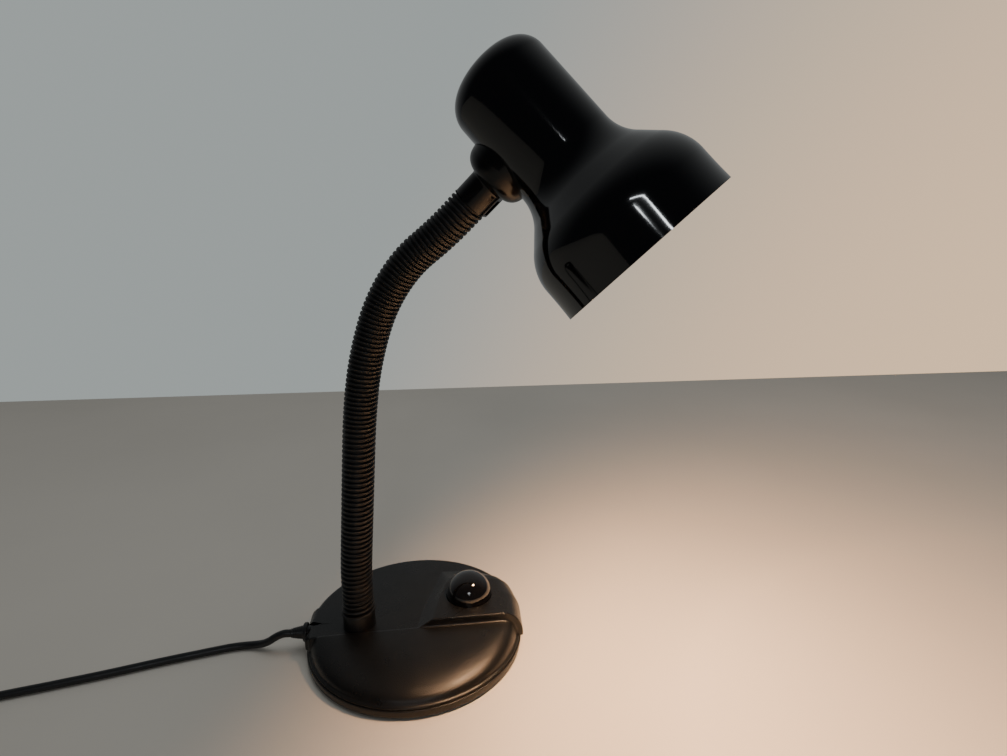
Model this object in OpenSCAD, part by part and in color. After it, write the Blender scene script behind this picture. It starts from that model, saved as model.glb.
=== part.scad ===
// Dome shade desk lamp: a weighted round base with a push button, a ribbed gooseneck,
// and a dome shade with a round cap over one lamp bulb.
// The origin is the centre of the base on the table. +X runs along the front edge of the deck,
// from the neck to the button, and +Z is up.

/* [Base] */
// Diameter of the tray, the widest round of the base
base_d = 152; // [146:1:156]
// Height of the tray's side band
tray_h = 5.4; // [4:0.2:7]
// Thickness of the foam pad under the tray
pad_t = 1; // [0.6:0.1:2]
// Height of the flat deck above the table
deck_z = 19.2; // [18.4:0.1:20.4]
// Height of the long straight edge of the front dome
dome_z = 20.3; // [19.4:0.1:22]
// Distance from the base's centre forward to that straight edge
dome_edge = 17.7; // [14:0.1:20]
// Height of the raised pod round the button
pod_z = 26.2; // [25:0.1:27]
// Thickness of the moulded cover
cover_t = 2.2; // [1.8:0.1:3]

/* [Button] */
// Button's place along X
button_x = 39; // [34:0.5:42]
// Button's place along Y
button_y = 8.5; // [6:0.5:12]
// Diameter of the domed button
button_d = 33; // [28:0.5:34]
// How far the button goes down
button_travel = 3; // [2:0.5:4]

/* [Neck] */
// Neck's place along X
neck_x = -39.5; // [-46:0.5:-36]
// Neck's place along Y
neck_y = -5.5; // [-8:0.5:0]
// Turn of the neck's plane about Z, from +X towards the front
neck_turn = 21.9; // [10:0.1:30]
// Length of the ribbed sleeve along its centreline
neck_len = 299.8; // [260:0.2:330]
// Radius over the ribs
rib_r = 10.6; // [10:0.1:12]
// Radius in the grooves
groove_r = 9.1; // [9:0.1:9.8]
// Ribs on each of the sleeve's lower five pieces
low_ribs = 8; // [7:1:9]
// Ribs on each of the pieces above them
high_ribs = 9; // [8:1:10]
// Width of the open joint between two pieces of the sleeve
joint_gap = 2.2; // [2:0.1:2.4]
// Radius of the steel core
core_r = 7.9; // [7:0.1:8]
// Height of the smooth ferrule at the foot
ferrule_h = 10.7; // [9:0.1:12]
// Lean of the neck's straight upper end, from vertical
head_lean = 46.7; // [40:0.1:55]

/* [Shade] */
// Radius of the shade's rim
rim_r = 53.4; // [50:0.1:58]
// Length from the rim to the crown
shade_len = 129.4; // [126:0.2:136]
// Radius of the cap
cap_r = 29.8; // [29:0.1:32]
// Radius of the bell's shoulder
shoulder_r = 29; // [26:0.5:30]
// Radius of the fillet where the bell meets the cap
throat_r = 26; // [22:0.5:28]
// Radius of the cap's rounded crown
crown_r = 13; // [10:0.5:16]
// Thickness of the shade's sheet metal
shade_t = 0.8; // [0.6:0.1:1.2]
// Height of the rosette's centre above the rim
rosette_h = 86.2; // [82:0.1:90]
// Radius of the rosette
rosette_r = 19.4; // [18:0.1:22]
// Length of the collar under the rosette
collar_len = 15; // [12:0.5:18]

/* [Cord] */
// Diameter of the cord
cord_d = 5.2; // [5:0.1:6]
// Distance between neighbouring loops of the coil
coil_pitch = 5.8; // [5.8:0.1:6.6]
// Turns of the coil on each of its two layers
coil_turns = 4.25; // [3.25:1:5.25]

/* [Hidden] */
$fn = 64;
links = 11;

base_r = base_d / 2;
tray_top = pad_t + tray_h;
flange_top = tray_top + 1.8;
foot_r = base_r - 2.7;
deck_r = base_r - 1.4;
dome_rise = dome_z - flange_top;
edge_half = sqrt(foot_r * foot_r - dome_edge * dome_edge);
corner_in = 8;
ballast_r = 58;
screw_r = 64.5;
screw_turns = [45, 135, 225, 315];
pod_ramp = 11;
lobe_x = base_r + 1.5;
boss_x = -(base_r + 1.5);
boss_y = 1.5;
boss_w = 31;
bush_y = -2;
bush_z = 13.5;
notch_w = 10;
notch_l = 12;

button_r = button_d / 2;
pod_t = 2.5;
button_low = pod_z - pod_t - 1.4;
button_mid = pod_z + 0.6;
plunger_low = 6 + button_travel;
bush_top = 18;
spring_top = 33;

// The neck's lean from vertical at distances along its centreline, read between these pairs.
lean_at = [
    [0, 0], [24, 0.2], [40, 4.6], [128, 4.9], [160, 9], [205, 20.6], [245, 41.6], [262, 53.5],
    [278, 50], [290, head_lean], [400, head_lean]
];
link_len = neck_len / links;
core_end = 2.4;
socket_r = core_r + 0.5;
neck_z = deck_z + ferrule_h;
step = 1;

// Points of the centreline in the neck's own upright plane, one for each millimetre.
function walk(n) = [
    for (i = 0, p = [0, 0]; i <= n; i = i + 1, p = p + step * lean_dir((i - 0.5) * step)) p
];
function lean_dir(s) = [sin(lean_of(s)), cos(lean_of(s))];
function lean_of(s) = lookup(s, lean_at);
path = walk(ceil(neck_len) + 2);
function on_path(s) =
    s <= 0 ? [0, s] :
    s >= neck_len ? path_end + (s - neck_len) * lean_dir(neck_len) :
    inside_path(s);
function inside_path(s) =
    let (i = floor(s), f = s - i) path[i] + f * (path[i + 1] - path[i]);
path_end = inside_path(neck_len);

reach = cap_r + 23.7;
collar_r = 10.3;
head_u = path_end[0] + reach * sin(head_lean);
head_v = path_end[1] + reach * cos(head_lean);

// Centre points of the bulb's and shade's arcs, as distance along the axis and radius.
wall_h = 19.5;
wall_r = rim_r - 0.6;
shoulder_c = [wall_h, wall_r - shoulder_r];
throat_c = [66, cap_r + throat_r];
bulb_r = 28;
bulb_h = 36;
bulb_neck_r = 13;
bulb_neck_h = 79;
shell_low = 77;
shell_high = 105;
holder_low = 73;
holder_top = 113.4;
holder_r = 17.5;
seat_x = cap_r - 4.2;

cord_r = cord_d / 2;
coil_centre = [-298, -70];
coil_mid_r = 19.35;
coil_low = 2.7;
coil_high = coil_low + coil_pitch;
coil_start = 90;
cord_points = [
    [-87.5, -2, 13.5], [-92.7, -2, 13.5], [-98, -2, 11.4], [-102.7, -1, 8],
    [-108, 0.9, 5], [-114, 2.8, 3.3], [-121, 3.6, 2.7], [-130, 3, 2.7], [-140, 1.2, 2.7],
    [-152, -1.2, 2.7], [-164, -3.6, 2.7], [-176, -6.2, 2.7], [-188, -9, 2.7],
    [-200, -11.8, 2.7], [-212, -14.4, 2.7], [-224, -16.8, 2.7], [-236, -19.2, 2.7],
    [-248, -21.4, 2.7], [-260, -23.6, 2.7], [-272, -25.2, 2.7], [-280, -25.8, 2.7]
];
tail_points = [
    [-280, -114.4, 7.9], [-272, -114.8, 7], [-264, -115.6, 6.1], [-256, -116.46, 5.6],
    [-248, -117.3, 5.6]
];
plug_at = [-248, -117.3, 5.6];
plug_turn = -6;

sleeve_names = [for (i = [1:links]) str("neck_sleeve_", i)];
core_names = [for (i = [1:links]) str("neck_core_", i)];

// ---- Shared shapes

function arc(c, r, a0, a1, n) = [
    for (i = [0:n]) c + r * [cos(a0 + (a1 - a0) * i / n), sin(a0 + (a1 - a0) * i / n)]
];
function unit(v) = v / norm(v);
function flat_sum(v) = [for (part = v) for (x = part) x];

// One ring of a round tube at point i of a route that never runs straight up.
function ring_at(route, i, r, sides) =
    let (
        last = len(route) - 1,
        ahead = unit(route[min(i + 1, last)] - route[max(i - 1, 0)]),
        side = unit(cross(ahead, [0, 0, 1])),
        lift = cross(side, ahead)
    )
    [
        for (k = [0:sides - 1])
            let (a = 360 * (k + 0.5) / sides) route[i] + r * (cos(a) * side + sin(a) * lift)
    ];

// Triangles between rings that lie one after another, each with the same number of points.
function wall_faces(rings, sides, at = 0, flip = false) = flat_sum([
    for (i = [0:rings - 2])
        for (k = [0:sides - 1])
            let (
                a = at + i * sides + k,
                b = at + i * sides + (k + 1) % sides,
                c = a + sides,
                d = b + sides
            )
            flip ? [[a, c, d], [a, d, b]] : [[a, b, d], [a, d, c]]
]);
function fan(first, sides, flip = false) = [
    for (k = [1:sides - 2])
        flip ? [first, first + k + 1, first + k] : [first, first + k, first + k + 1]
];

module tube(route, r, sides) {
    rings = len(route);
    points = flat_sum([for (i = [0:rings - 1]) ring_at(route, i, r, sides)]);
    faces = concat(
        wall_faces(rings, sides),
        fan(0, sides, true),
        fan((rings - 1) * sides, sides)
    );
    polyhedron(points, faces, convexity = 12);
}

module at_neck() {
    translate([neck_x, neck_y, neck_z]) rotate([0, 0, -neck_turn]) children();
}

// The head's frame: Z runs from the rim to the crown, and the collar comes from -X.
module at_head() {
    at_neck()
        translate([head_u, 0, head_v])
            rotate([0, head_lean - 90, 0])
                translate([0, 0, -rosette_h])
                    children();
}

module along_x(x0, x1, r) {
    translate([x0, 0, 0]) rotate([0, 90, 0]) cylinder(r = r, h = x1 - x0);
}

module hex_nut(across, bore_r, h) {
    difference() {
        cylinder(d = across / cos(30), h = h, $fn = 6);
        translate([0, 0, -1]) cylinder(r = bore_r, h = h + 2);
    }
}

// ---- Base

// The front dome: D shaped outlines that draw in as they rise to the straight edge.
module front_dome() {
    across = 28;
    levels = 8;
    rings = [
        for (k = [0:levels])
            let (a = 90 * k / levels, in = corner_in * (1 - cos(a)))
            [
                for (j = [0:across])
                    let (
                        x = -edge_half * cos(180 * j / across),
                        y = sqrt(foot_r * foot_r - x * x) - dome_edge
                    )
                    [
                        x * (edge_half - in) / edge_half,
                        -dome_edge + 1 - (y + 1) * cos(a),
                        flange_top + dome_rise * sin(a)
                    ]
            ]
    ];
    floor_ring = [for (p = rings[0]) [p[0], p[1], tray_top + 0.4]];
    points = flat_sum(concat([floor_ring], rings));
    n = across + 1;
    skin = flat_sum([
        for (i = [0:levels])
            for (j = [0:across - 1])
                let (a = i * n + j, b = a + 1, c = a + n, d = b + n)
                i == levels ? [] : [[a, c, d], [a, d, b]]
    ]);
    top = flat_sum([
        for (j = [0:across - 1])
            let (a = levels * n + j, b = a + 1, c = a + n, d = b + n) [[a, c, d], [a, d, b]]
    ]);
    back = concat(
        [for (i = [0:levels + 1]) i * n + across],
        [for (j = [1:across - 1]) (levels + 2) * n - 1 - j],
        [for (i = [levels + 1:-1:0]) i * n]
    );
    bottom = [for (j = [0:across]) j];
    polyhedron(points, concat(skin, top, [back], [bottom]), convexity = 6);
}

// Outline of the pod's front wall and of the lobe that curls down to the rim.
function pod_line(top, start_x, end_x) = concat(
    [[start_x, deck_z - 3], [start_x, deck_z], [start_x + pod_ramp, top]],
    [for (a = [0:15:90]) [end_x - 16 + 16 * sin(a), flange_top + (top - flange_top) * cos(a)]],
    [[end_x, tray_top + 0.4], [base_r - 14, tray_top + 0.4]]
);

module pod_slice(y, top, start_x, end_x) {
    translate([0, y, 0])
        rotate([90, 0, 0]) linear_extrude(0.2) polygon(pod_line(top, start_x, end_x));
}

module pod() {
    hull() {
        pod_slice(-dome_edge + 0.2, pod_z, 0.7, lobe_x - 1.5);
        pod_slice(8, pod_z, 6, lobe_x);
        pod_slice(26, pod_z, 12, lobe_x - 3);
    }
    hull() {
        pod_slice(25.9, pod_z, 12, lobe_x - 3);
        pod_slice(32, pod_z - 0.6, 14, lobe_x - 6.5);
        pod_slice(52, deck_z - 0.5, 20, lobe_x - 24);
    }
}

module cord_boss() {
    hull() {
        translate([boss_x + 1.5, boss_y - boss_w / 2, tray_top + 0.4]) cube([14, boss_w, 9]);
        translate([boss_x + 5, boss_y - boss_w / 2 + 2, tray_top + 0.4])
            cube([12, boss_w - 2, deck_z - tray_top - 0.4]);
    }
}

module deck_block() {
    difference() {
        rotate_extrude($fn = 96)
            polygon(concat(
                [[0, tray_top], [deck_r, tray_top], [deck_r, deck_z - 3]],
                arc([deck_r - 3, deck_z - 3], 3, 15, 90, 5),
                [[0, deck_z]]
            ));
        translate([-base_r - 5, -2 * base_r - dome_edge + 0.5, 0]) cube([2 * base_r + 10, 2 * base_r, 40]);
    }
}

module cover_cavity() {
    rotate_extrude($fn = 96)
        polygon([
            [0, 0], [69.8, 0], [69.8, 8], [68, 10.4], [62, 12.6], [52, 14.6],
            [30, deck_z - cover_t], [0, deck_z - cover_t]
        ]);
    translate([button_x, button_y, 5]) cylinder(r = button_r + 3, h = pod_z - pod_t - 5);
    translate([neck_x, neck_y, 5]) cylinder(r = 10, h = deck_z - cover_t - 5);
}

module base_cover() {
    color("#26231f")
        difference() {
            union() {
                difference() {
                    union() {
                        deck_block();
                        front_dome();
                        pod();
                        cord_boss();
                        rotate_extrude($fn = 96)
                            polygon([
                                [60, tray_top], [base_r - 0.8, tray_top],
                                [base_r - 0.8, flange_top - 0.6], [base_r - 1.4, flange_top],
                                [60, flange_top]
                            ]);
                    }
                    cover_cavity();
                }
                for (a = screw_turns)
                    rotate([0, 0, a]) translate([screw_r, 0, tray_top]) cylinder(r = 4, h = 5.6);
            }
            for (a = screw_turns)
                rotate([0, 0, a]) translate([screw_r, 0, 2]) cylinder(r = 1.5, h = 8.6);
            translate([neck_x, neck_y, 10]) cylinder(r = 5.05, h = 12);
            translate([button_x, button_y, 10]) cylinder(r = button_r + 0.3, h = 30);
            translate([0, bush_y, bush_z]) along_x(boss_x - 1, -60, 4.2);
            translate([boss_x, bush_y, bush_z])
                linear_extrude(20) polygon([[-1, -notch_w / 2], [notch_l, 0], [-1, notch_w / 2]]);
        }
}

module base_tray() {
    color("#26231f")
        difference() {
            union() {
                rotate_extrude($fn = 96)
                    polygon([
                        [0, pad_t], [base_r - 1.4, pad_t], [base_r, pad_t + 1.4],
                        [base_r, tray_top], [base_r - 2.4, tray_top], [base_r - 2.4, pad_t + 2],
                        [0, pad_t + 2]
                    ]);
                for (a = screw_turns)
                    rotate([0, 0, a]) translate([screw_r, 0, pad_t]) cylinder(r = 5.2, h = tray_h);
            }
            for (a = screw_turns)
                rotate([0, 0, a]) translate([screw_r, 0, 0]) {
                    cylinder(r = 3.6, h = pad_t + 2.6);
                    cylinder(r = 1.9, h = 20);
                }
        }
}

// A steel disc with one opening for the neck's nut and one for the switch.
module ballast() {
    color("#6d6c6a")
        translate([0, 0, pad_t + 2])
            difference() {
                cylinder(r = ballast_r, h = 7.5, $fn = 96);
                translate([neck_x, neck_y, -1]) cylinder(r = 13, h = 12);
                translate([button_x, button_y, -1]) cylinder(r = 14, h = 12);
            }
}

// A thin foam disc, stuck over the screws.
module foam_pad() {
    color("#1b1b1b") cylinder(r = base_r - 4, h = pad_t, $fn = 96);
}

module base_screws() {
    color("#8f8f8f")
        for (a = screw_turns)
            rotate([0, 0, a]) translate([screw_r, 0, 0]) {
                difference() {
                    translate([0, 0, pad_t + 0.8]) cylinder(r = 3.3, h = 1.8);
                    for (turn = [0, 90])
                        rotate([0, 0, turn])
                            translate([-2, -0.4, pad_t]) cube([4, 0.8, 1.6]);
                }
                translate([0, 0, pad_t + 2.6]) cylinder(r = 1.45, h = 6.4);
            }
}

// ---- Switch and button

module switch_body() {
    color("#35332f")
        translate([button_x, button_y, 0])
            difference() {
                union() {
                    translate([0, 0, pad_t + 2]) cylinder(r = 11, h = 10.5);
                    cylinder(r = 6, h = bush_top);
                }
                translate([0, 0, -1]) cylinder(r = 12, h = pad_t + 3);
                translate([0, 0, 5]) cylinder(r = 2.55, h = bush_top);
            }
}

module switch_plunger() {
    color("#d9d6cf")
        translate([button_x, button_y, plunger_low]) cylinder(r = 2.5, h = spring_top - plunger_low);
}

module button_spring() {
    curls = 6;
    per = 8;
    wire = 0.5;
    low = bush_top + wire;
    rise = spring_top - bush_top - 2 * wire;
    color("#b9b9b9")
        translate([button_x, button_y, 0])
            tube(
                [
                    for (i = [0:curls * per])
                        let (a = 360 * i / per) [4 * cos(a), 4 * sin(a), low + rise * i / (curls * per)]
                ],
                wire, 6
            );
}

module push_button() {
    color("#0b0b0c")
        translate([button_x, button_y, 0]) {
            rotate_extrude()
                polygon(concat(
                    [[button_r, button_low + 1.2], [button_r, button_mid]],
                    arc([0, button_mid], button_r, 3, 90, 18),
                    arc([0, button_mid], button_r - 1.6, 90, 0, 18),
                    [[button_r - 1.6, button_low], [button_r + 1.6, button_low],
                     [button_r + 1.6, button_low + 1.2]]
                ));
            translate([0, 0, spring_top]) cylinder(r = 5.2, h = button_mid + button_r - 1 - spring_top);
        }
}

// ---- Neck

module neck_ferrule() {
    color("#161616")
        translate([neck_x, neck_y, 0])
            difference() {
                union() {
                    rotate_extrude()
                        polygon([
                            [0, deck_z], [11.1, deck_z], [11.1, deck_z + 1.4], [11, deck_z + 2],
                            [10.9, neck_z - 0.8], [10.3, neck_z], [0, neck_z]
                        ]);
                    translate([0, 0, 7]) cylinder(r = 5, h = deck_z - 6);
                }
                cylinder(r = 3.4, h = 40);
                translate([0, 0, neck_z - 6.5]) cylinder(r = socket_r, h = 10);
            }
}

module neck_washer() {
    color("#a5a5a5")
        translate([neck_x, neck_y, deck_z - cover_t - 1])
            difference() {
                cylinder(r = 9, h = 1);
                translate([0, 0, -1]) cylinder(r = 5.05, h = 3);
            }
}

module neck_nut() {
    color("#a5a5a5")
        translate([neck_x, neck_y, deck_z - cover_t - 6]) hex_nut(14, 5.05, 5);
}

// One ring of the sleeve, square to the neck's centreline.
function sleeve_ring(s, r, sides) =
    let (c = on_path(s), d = lean_dir(s))
    [
        for (k = [0:sides - 1])
            let (a = 360 * (k + 0.5) / sides)
            [c[0] + r * cos(a) * d[1], r * sin(a), c[1] - r * cos(a) * d[0]]
    ];

// The lowest ribs swell over the ferrule.
function rib_top(s) = rib_r + 1.3 * exp(-s * s / 20);

module neck_sleeve(i) {
    sides = 11;
    ribs = i < 5 ? low_ribs : high_ribs;
    s0 = i * link_len + (i == 0 ? 0 : joint_gap / 2);
    s1 = (i + 1) * link_len - (i == links - 1 ? 0 : joint_gap / 2);
    outer = concat(
        [sleeve_ring(s0, groove_r, sides)],
        [
            for (j = [0:2 * ribs - 2])
                let (s = i * link_len + (j + 1) * link_len / (2 * ribs))
                sleeve_ring(s, j % 2 == 0 ? rib_top(s) : groove_r, sides)
        ],
        [sleeve_ring(s1, groove_r, sides)]
    );
    bore = [for (f = [0:3]) sleeve_ring(s0 + (s1 - s0) * f / 3, core_r + 0.2, sides)];
    n = len(outer);
    m = len(bore);
    b = n * sides;
    lips = flat_sum([
        for (k = [0:sides - 1])
            let (k2 = (k + 1) % sides)
            [
                [k, b + k2, k2], [k, b + k, b + k2],
                [(n - 1) * sides + k, (n - 1) * sides + k2, b + (m - 1) * sides + k2],
                [(n - 1) * sides + k, b + (m - 1) * sides + k2, b + (m - 1) * sides + k]
            ]
    ]);
    color("#1e1d1c")
        at_neck()
            polyhedron(
                flat_sum(concat(outer, bore)),
                concat(wall_faces(n, sides), wall_faces(m, sides, b, true), lips),
                convexity = 10
            );
}

// A straight steel tube along the chord of each piece of the sleeve, short enough to turn.
module neck_core(i) {
    s0 = i == 0 ? -6 : i * link_len + core_end;
    s1 = i == links - 1 ? neck_len + 6 : (i + 1) * link_len - core_end;
    p = on_path(s0);
    q = on_path(s1);
    color("#8a8a88")
        at_neck()
            translate([p[0], 0, p[1]])
                rotate([0, atan2(q[0] - p[0], q[1] - p[1]), 0])
                    difference() {
                        cylinder(r = core_r, h = norm(q - p));
                        translate([0, 0, -1]) cylinder(r = core_r - 2, h = norm(q - p) + 2);
                    }
}

// ---- Head

module head_collar() {
    x0 = -reach;
    x1 = x0 + collar_len;
    color("#111112")
        at_head()
            translate([0, 0, rosette_h])
                difference() {
                    union() {
                        along_x(x0, x1 + 3, collar_r);
                        rotate([0, 90, 0])
                            rotate_extrude()
                                polygon(concat(
                                    [[0, -20], [0, x1 - 0.5], [collar_r + 0.2, x1 - 0.5]],
                                    arc([rosette_r - 9.5, x1 + 9], 9, -80, -10, 8),
                                    [[rosette_r, -28], [rosette_r, -20]]
                                ));
                        translate([x0 + 1, -4.5, -collar_r - 0.7]) cube([13.5, 9, 8]);
                    }
                    translate([0, 0, -60]) cylinder(r = cap_r + 0.03, h = 120, $fn = 96);
                    translate([x0 + 2.5, -2.8, -collar_r - 2.1]) cube([10.5, 5.6, 3.6]);
                    along_x(x0 - 1, x0 + 6.6, socket_r);
                    along_x(x0, 0, 5.02);
                }
}

module nipple() {
    color("#c2a04c")
        at_head()
            translate([0, 0, rosette_h])
                difference() {
                    along_x(-reach + 7, -20.5, 5);
                    along_x(-reach, 0, 3.6);
                }
}

module nipple_washer() {
    color("#a5a5a5")
        at_head()
            translate([0, 0, rosette_h])
                difference() {
                    along_x(-seat_x, -seat_x + 1.2, 7);
                    along_x(-cap_r, 0, 5.02);
                }
}

module nipple_nut() {
    color("#a5a5a5")
        at_head()
            translate([-seat_x + 1.2, 0, rosette_h]) rotate([0, 90, 0]) hex_nut(14, 5.02, 3.6);
}

// Half of the shade's wall in section, drawn in by t from its outer face.
function bell_line(t) = concat(
    [[rim_r - t, 0], [wall_r - t, wall_h]],
    [for (a = [4:4:44]) [shoulder_c[1] + (shoulder_r - t) * cos(a), wall_h + (shoulder_r - t) * sin(a)]],
    [for (a = [45:-5:0]) [throat_c[1] - (throat_r + t) * cos(a), throat_c[0] - (throat_r + t) * sin(a)]],
    [[cap_r - 0.3 - t, shade_len - crown_r - 1.5]],
    [
        for (a = [9:9:81])
            [
                cap_r - 0.3 - crown_r + (crown_r - t) * cos(a),
                shade_len - crown_r - 1.5 + (crown_r - t) * sin(a)
            ]
    ],
    [[(cap_r - crown_r) * 0.6, shade_len - 0.7 - t], [0, shade_len - t]]
);

module shade() {
    outer = bell_line(0);
    inner = bell_line(shade_t);
    color("#08080a")
        at_head()
            difference() {
                union() {
                    rotate_extrude($fn = 128)
                        polygon(concat(outer, [for (i = [len(inner) - 1:-1:0]) inner[i]]));
                    rotate_extrude($fn = 128)
                        translate([rim_r - 0.9, 0.75]) circle(r = 0.75, $fn = 16);
                }
                translate([0, 0, rosette_h]) along_x(-60, 0, 5.3);
            }
}

module holder_bracket() {
    low = rosette_h - 9;
    inside = cap_r - 0.3 - shade_t;
    color("#9a9a98")
        at_head()
            difference() {
                union() {
                    translate([0, 0, low])
                        rotate([0, 0, 168])
                            rotate_extrude(angle = 24, $fn = 96)
                                translate([inside - 2.4, 0]) square([2.37, holder_top + 1.5 - low]);
                    translate([-seat_x - 1.2, -5.5, low]) cube([1.2, 11, 18]);
                    translate([-inside + 1.6, -5.5, holder_top]) cube([inside + 6, 11, 1.5]);
                }
                translate([0, 0, rosette_h]) along_x(-40, 0, 5.02);
                translate([0, 0, holder_top - 1]) cylinder(r = 2, h = 5);
            }
}

module lampholder() {
    color("#e6e2d8")
        at_head()
            rotate_extrude()
                polygon([
                    [14, holder_low], [holder_r, holder_low], [holder_r, shell_high + 3],
                    [holder_r - 4, holder_top - 2], [holder_r - 4, holder_top], [2, holder_top],
                    [2, shell_high + 4], [14, shell_high + 4]
                ]);
}

module lamp_shell() {
    color("#c2a04c")
        at_head()
            rotate_extrude()
                polygon([
                    [13.5, shell_low], [13.95, shell_low], [13.95, shell_high + 3],
                    [13.5, shell_high + 3]
                ]);
}

module centre_contact() {
    color("#c2a04c")
        at_head()
            translate([-9, 3, 0])
                rotate([90, 0, 0])
                    linear_extrude(6)
                        polygon([
                            [0, shell_high + 4], [0, shell_high + 3.4], [4, shell_high + 3.4],
                            [6.5, shell_high], [12, shell_high], [12, shell_high + 0.6],
                            [7, shell_high + 0.6], [4.4, shell_high + 4]
                        ]);
}

// Half of the bulb's glass in section, drawn in by t: a ball and the fillet down to its neck.
function bulb_line(t) =
    let (
        a1 = 42,
        fillet = (bulb_r * cos(a1) - bulb_neck_r) / (1 - cos(a1)),
        mid_h = bulb_h + (bulb_r + fillet) * sin(a1),
        mid_r = bulb_neck_r + fillet
    )
    concat(
        [for (a = [-90:12:a1]) [(bulb_r - t) * cos(a), bulb_h + (bulb_r - t) * sin(a)]],
        [for (a = [a1:-7:0]) [mid_r - (fillet + t) * cos(a), mid_h - (fillet + t) * sin(a)]],
        [[bulb_neck_r - t, bulb_neck_h]]
    );

module bulb_glass() {
    outer = bulb_line(0);
    inner = bulb_line(0.8);
    color("#f4ead2")
        at_head()
            rotate_extrude()
                polygon(concat(outer, [for (i = [len(inner) - 1:-1:0]) inner[i]]));
}

module bulb_base() {
    color("#b8b4a8")
        at_head()
            rotate_extrude()
                polygon(concat(
                    [[12, bulb_neck_h - 2], [12, bulb_neck_h], [12.9, bulb_neck_h]],
                    [for (j = [0:15]) [j % 4 < 2 ? 13.4 : 12.8, bulb_neck_h + 1.5 + j * 1.25]],
                    [
                        [12, shell_high - 4.5], [5, shell_high - 1.5], [4, shell_high],
                        [0, shell_high], [0, bulb_neck_h - 2]
                    ]
                ));
}

// ---- Cord

module cord_bushing() {
    color("#141414")
        translate([0, bush_y, bush_z])
            difference() {
                union() {
                    along_x(boss_x + 1.5, -64, 4.1);
                    along_x(boss_x - 1, boss_x + 1.5, 6.4);
                    translate([boss_x - 10, 0, 0])
                        rotate([0, 90, 0]) cylinder(r1 = 3.3, r2 = 4.6, h = 9, $fn = 48);
                }
                along_x(-66.5, -60, cord_r);
            }
}

// The winding runs in on the lower layer, climbs at its middle, and runs out on the upper one.
function coil_point(t) =
    let (
        r = coil_mid_r + coil_pitch * abs(t),
        a = coil_start + 360 * (t + coil_turns),
        f = min(max(t * 2 + 0.5, 0), 1),
        z = coil_low + (coil_high - coil_low) * f * f * (3 - 2 * f)
    )
    [coil_centre[0] + r * cos(a), coil_centre[1] + r * sin(a), z];

coil_steps = 24;
coil_rings = [for (i = [0:2 * coil_turns * coil_steps]) coil_point(i / coil_steps - coil_turns)];
coil_last = len(coil_rings) - 1;
coil_in = coil_rings[0] + cord_d * unit(coil_rings[0] - coil_rings[1]);
coil_out = coil_rings[coil_last] + cord_d * unit(coil_rings[coil_last] - coil_rings[coil_last - 1]);
coil_route = concat([coil_in], coil_rings, [coil_out]);
before_coil = coil_in + cord_d * unit(coil_in - coil_rings[0]);
after_coil = coil_out + cord_d * unit(coil_out - coil_rings[coil_last]);
coil_gap = min([
    for (i = [0:coil_last])
        for (j = [i + 16:1:coil_last]) norm(coil_rings[i] - coil_rings[j])
]) - cord_d;
echo(least_gap_of_the_coil_to_itself_mm = coil_gap);

module cord() {
    color("#0e0e0e") tube(concat(cord_points, [before_coil, coil_in]), cord_r, 8);
}

module cord_coil() {
    color("#0e0e0e") tube(coil_route, cord_r, 6);
}

module cord_tail() {
    color("#0e0e0e") tube(concat([coil_out, after_coil], tail_points), cord_r, 8);
}

module plug_body() {
    color("#0e0e0e")
        translate(plug_at)
            rotate([0, 0, plug_turn])
                difference() {
                    union() {
                        hull() {
                            for (y = [-5.5, 5.5])
                                translate([14, y, 0]) along_x(0, 18, 5.5);
                            translate([9, 0, 0]) along_x(0, 2, 4.6);
                        }
                        rotate([0, 90, 0]) cylinder(r1 = 3.4, r2 = 4.4, h = 10);
                    }
                    for (y = [-6.35, 6.35]) translate([24, y - 0.8, -3.3]) cube([20, 1.6, 6.6]);
                }
}

module plug_blades() {
    color("#c8a860")
        translate(plug_at)
            rotate([0, 0, plug_turn])
                for (y = [-6.35, 6.35])
                    translate([24, y - 0.75, -3.2])
                        difference() {
                            cube([25, 1.5, 6.4]);
                            translate([21.5, 3, 3.2]) rotate([90, 0, 0]) cylinder(r = 1.5, h = 6);
                        }
}

base_cover();
base_tray();
ballast();
foam_pad();
base_screws();
switch_body();
switch_plunger();
button_spring();
push_button();
neck_ferrule();
neck_washer();
neck_nut();
cord_bushing();
cord();
cord_coil();
cord_tail();
plug_body();
plug_blades();
head_collar();
nipple();
nipple_washer();
nipple_nut();
shade();
holder_bracket();
lampholder();
lamp_shell();
centre_contact();
bulb_glass();
bulb_base();
for (i = [0:links - 1]) {
    neck_sleeve(i);
    neck_core(i);
}
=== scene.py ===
import math

import bpy
from mathutils import Matrix, Vector


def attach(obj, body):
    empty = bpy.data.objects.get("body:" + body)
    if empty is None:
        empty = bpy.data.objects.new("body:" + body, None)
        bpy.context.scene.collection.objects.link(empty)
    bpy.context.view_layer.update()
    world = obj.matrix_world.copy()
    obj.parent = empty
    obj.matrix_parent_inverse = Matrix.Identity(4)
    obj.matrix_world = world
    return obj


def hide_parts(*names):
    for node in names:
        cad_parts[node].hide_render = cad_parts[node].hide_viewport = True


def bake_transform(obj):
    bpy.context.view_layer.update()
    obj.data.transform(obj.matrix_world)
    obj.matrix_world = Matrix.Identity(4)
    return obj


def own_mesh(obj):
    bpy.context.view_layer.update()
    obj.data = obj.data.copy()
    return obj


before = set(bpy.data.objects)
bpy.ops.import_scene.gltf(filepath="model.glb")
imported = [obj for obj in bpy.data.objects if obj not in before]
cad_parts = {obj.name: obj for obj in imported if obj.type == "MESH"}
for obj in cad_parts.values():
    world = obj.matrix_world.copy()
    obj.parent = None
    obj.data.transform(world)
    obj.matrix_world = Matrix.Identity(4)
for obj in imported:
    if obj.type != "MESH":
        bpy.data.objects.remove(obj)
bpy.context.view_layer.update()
print("frame loaded")

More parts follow.
